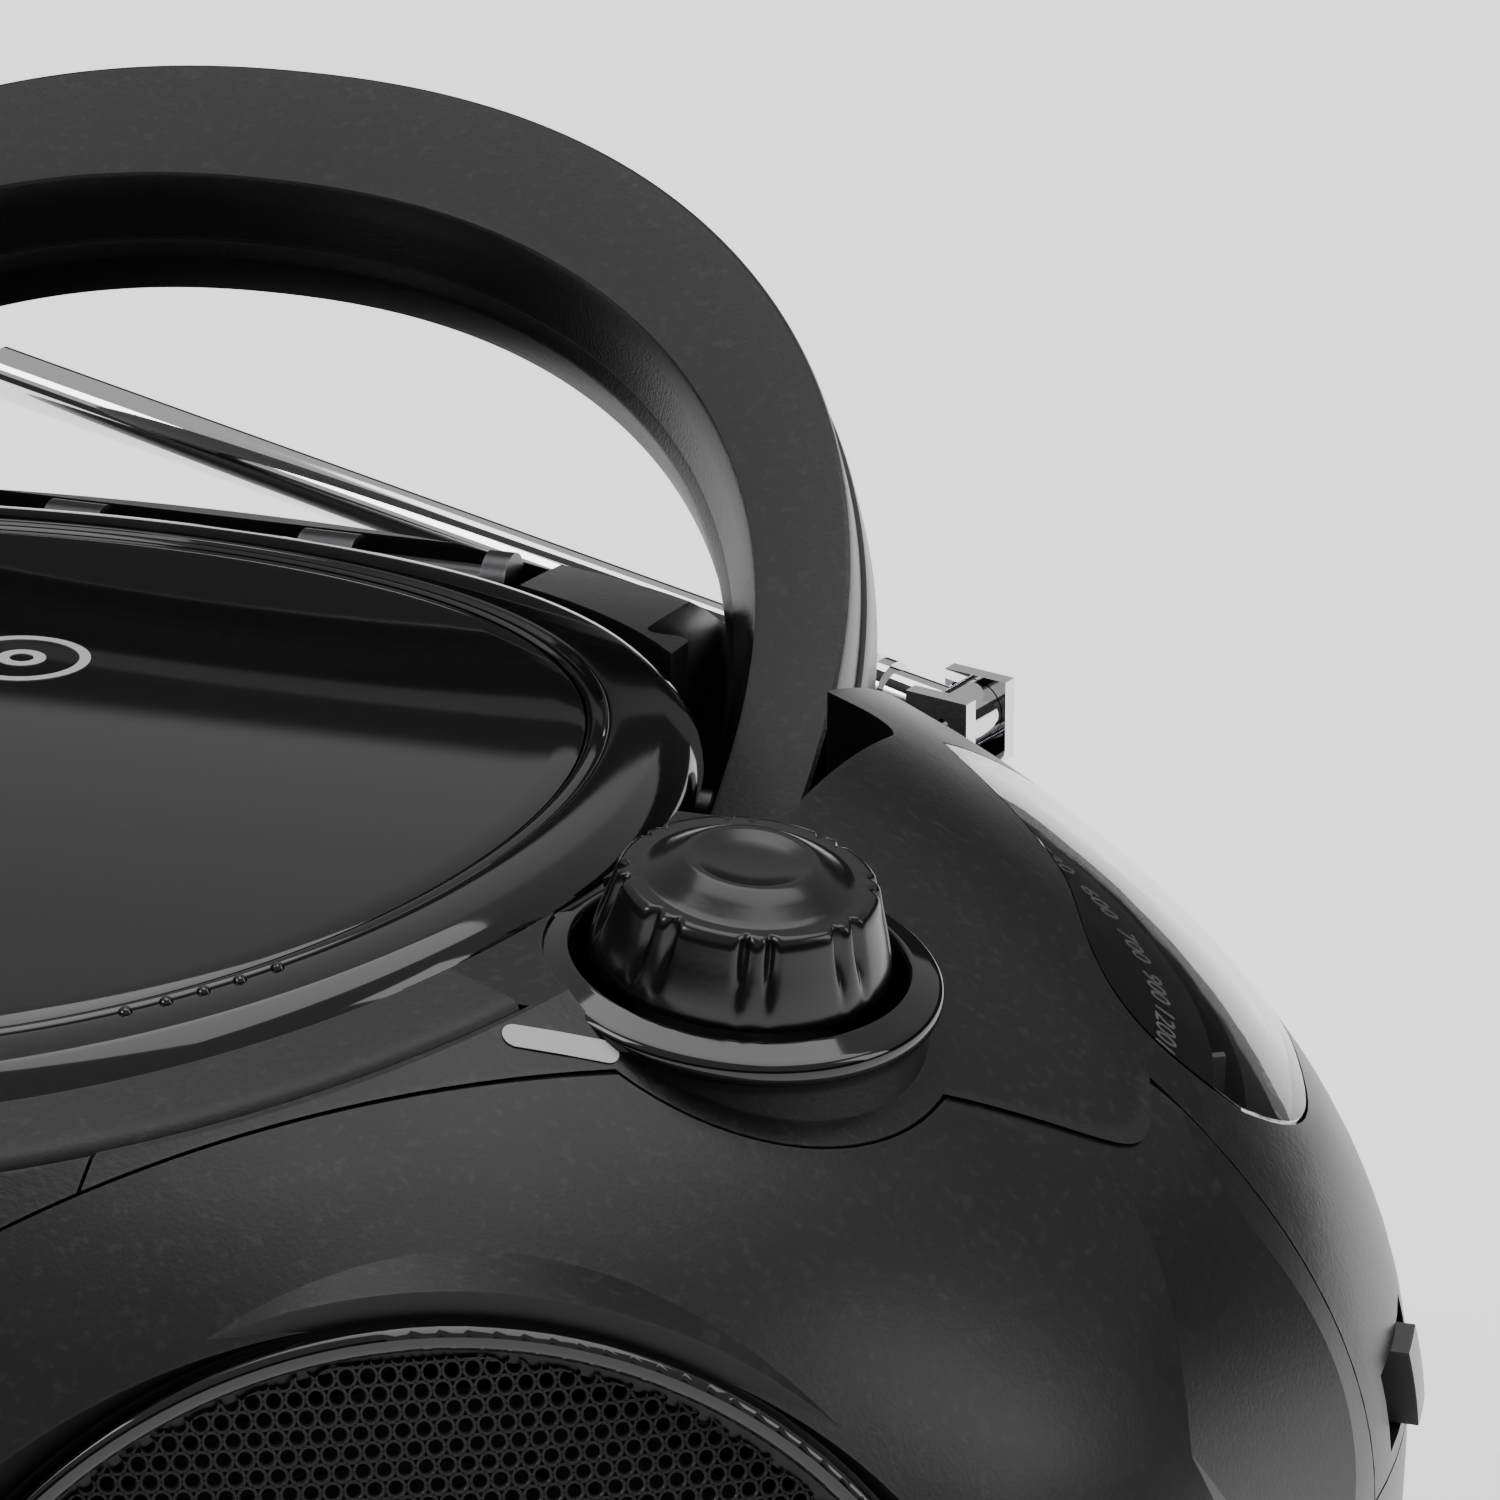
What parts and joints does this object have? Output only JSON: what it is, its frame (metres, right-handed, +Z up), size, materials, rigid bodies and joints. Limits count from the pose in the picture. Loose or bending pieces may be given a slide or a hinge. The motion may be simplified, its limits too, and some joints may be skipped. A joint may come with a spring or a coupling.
{
  "type": "boombox",
  "caption": "Portable stereo radio and disc player with a rounded case, domed lid, arched carrying handle and rod aerial.",
  "frame": {"origin": "on the table plane under the middle of the case, where the feet stand", "axes": "+X to the right seen from the front, +Y to the back, +Z up; the speakers face -Y"},
  "size_m": [0.2707, 0.2349, 0.1493],
  "materials": {
    "band_grey": "fine textured",
    "board_green": "solder resist",
    "case_black": "satin fine-grained",
    "chrome": "polished",
    "dial_clear": "smoked clear",
    "gloss_black": "polished",
    "handle_grey": "matt",
    "inner_plastic": "moulded",
    "key_grey": "satin lacquer",
    "lid_smoke": "smoked polished",
    "mesh_metal": "black lacquer",
    "paper": "pressed pulp",
    "pod_black": "satin",
    "print_light": "light",
    "rubber": "matt",
    "steel": "plain"
  },
  "bodies": {
    "chassis": {"antenna_post": "chrome", "battery_bay": "inner_plastic", "battery_contacts": "steel", "bottom_casing": "case_black", "case_screws": "steel", "center_panel": "case_black", "dial_plate": "inner_plastic", "dial_post": "inner_plastic", "dial_window": "dial_clear", "disc_well": "inner_plastic", "display_board": "board_green", "display_window": "dial_clear", "feet": "rubber", "grille_left": "mesh_metal", "grille_right": "mesh_metal", "grille_ring_left": "gloss_black", "grille_ring_right": "gloss_black", "handle_pins": "steel", "headphone_socket": "inner_plastic", "knob_collar_left": "gloss_black", "knob_collar_right": "gloss_black", "lid_hinge_bracket": "steel", "lid_surround": "band_grey", "main_board": "board_green", "pickup_rails": "steel", "power_inlet": "inner_plastic", "speaker_driver_left": "paper", "speaker_driver_right": "paper", "speaker_pod_left": "pod_black", "speaker_pod_right": "pod_black", "spindle_motor": "steel", "top_casing": "case_black", "tuning_capacitor": "inner_plastic", "volume_control": "inner_plastic"},
    "lid": {"lid_frame": "gloss_black", "lid_window": "lid_smoke", "disc_clamp": "inner_plastic"},
    "handle": {"handle_front": "handle_grey", "handle_rear": "handle_grey"},
    "volume_knob": {"volume_knob": "pod_black"},
    "tuning_knob": {"tuning_knob": "pod_black"},
    "dial_pointer": {"dial_pointer": "print_light"},
    "antenna_yoke": {"antenna_yoke": "chrome"},
    "antenna_base": {"antenna_knuckle": "chrome", "antenna_section_1": "chrome"},
    "antenna_two": {"antenna_section_2": "chrome"},
    "antenna_three": {"antenna_section_3": "chrome"},
    "antenna_four": {"antenna_section_4": "chrome"},
    "function_switch": {"function_switch": "key_grey"},
    "battery_door": {"battery_door": "case_black"},
    "spindle": {"disc_spindle": "inner_plastic"},
    "pickup": {"pickup_sled": "inner_plastic", "pickup_lens": "dial_clear"},
    "play_button": {"play_button": "key_grey"},
    "stop_button": {"stop_button": "key_grey"},
    "skip_back_button": {"skip_back_button": "key_grey"},
    "skip_forward_button": {"skip_forward_button": "key_grey"},
    "program_button": {"program_button": "key_grey"}
  },
  "joints": [
    {"name": "lid_hinge", "type": "hinge", "parent": "chassis", "child": "lid", "pos_m": [0, 0.074, 0.1115], "axis": [-1, 0, 0], "range_deg": [0, 58]},
    {"name": "handle_fold", "type": "hinge", "parent": "chassis", "child": "handle", "pos_m": [0, 0.0437, 0.1035], "axis": [-1, 0, 0], "range_deg": [-58, 0]},
    {"name": "volume_turn", "type": "hinge", "parent": "chassis", "child": "volume_knob", "pos_m": [-0.0844, -0.0218, 0.1188], "axis": [-0.13, -0.06, 0.9897], "range_deg": [-150, 150]},
    {"name": "tuning_turn", "type": "hinge", "parent": "chassis", "child": "tuning_knob", "pos_m": [0.0844, -0.0218, 0.1188], "axis": [0.13, -0.06, 0.9897], "range_deg": [-150, 150]},
    {"name": "pointer_turn", "type": "hinge", "parent": "chassis", "child": "dial_pointer", "pos_m": [0.08, 0.005, 0.084], "axis": [0, 0, 1], "range_deg": [-21, 31]},
    {"name": "antenna_swivel", "type": "hinge", "parent": "chassis", "child": "antenna_yoke", "pos_m": [0.0699, 0.09, 0.0968], "axis": [0, 0, 1], "range_deg": [-180, 0]},
    {"name": "antenna_tilt", "type": "hinge", "parent": "antenna_yoke", "child": "antenna_base", "pos_m": [0.0699, 0.09, 0.0968], "axis": [0.2756, 0.9613, 0], "range_deg": [0, 18]},
    {"name": "antenna_draw_1", "type": "slide", "parent": "antenna_base", "child": "antenna_two", "axis": [-0.9563, 0.2742, 0.1011], "range_m": [0, 0.085]},
    {"name": "antenna_draw_2", "type": "slide", "parent": "antenna_two", "child": "antenna_three", "axis": [-0.9563, 0.2742, 0.1011], "range_m": [0, 0.085]},
    {"name": "antenna_draw_3", "type": "slide", "parent": "antenna_three", "child": "antenna_four", "axis": [-0.9563, 0.2742, 0.1011], "range_m": [0, 0.085]},
    {"name": "function_slide", "type": "slide", "parent": "chassis", "child": "function_switch", "axis": [0, 1, 0], "range_m": [-0.005, 0.005]},
    {"name": "battery_door_pull", "type": "slide", "parent": "chassis", "child": "battery_door", "axis": [0, 1, 0], "range_m": [0, 0.02]},
    {"name": "spindle_spin", "type": "hinge", "parent": "chassis", "child": "spindle", "pos_m": [0, 0, 0.107], "axis": [0, 0, 1], "continuous": true},
    {"name": "pickup_slide", "type": "slide", "parent": "chassis", "child": "pickup", "axis": [0, 1, 0], "range_m": [-0.022, 0.003]},
    {"name": "play_press", "type": "slide", "parent": "chassis", "child": "play_button", "axis": [0, 1, 0], "range_m": [0, 0.0012], "stiffness_N_per_m": 900, "springref_m": -0.0006},
    {"name": "stop_press", "type": "slide", "parent": "chassis", "child": "stop_button", "axis": [0, 1, 0], "range_m": [0, 0.0012], "stiffness_N_per_m": 900, "springref_m": -0.0006},
    {"name": "skip_back_press", "type": "slide", "parent": "chassis", "child": "skip_back_button", "axis": [0, 1, 0], "range_m": [0, 0.0012], "stiffness_N_per_m": 900, "springref_m": -0.0006},
    {"name": "skip_forward_press", "type": "slide", "parent": "chassis", "child": "skip_forward_button", "axis": [0, 1, 0], "range_m": [0, 0.0012], "stiffness_N_per_m": 900, "springref_m": -0.0006},
    {"name": "program_press", "type": "slide", "parent": "chassis", "child": "program_button", "axis": [0, 1, 0], "range_m": [0, 0.0012], "stiffness_N_per_m": 900, "springref_m": -0.0006}
  ],
  "couplings": [
    {"joint": "pointer_turn", "follows": "tuning_turn", "ratio": 0.14}
  ]
}
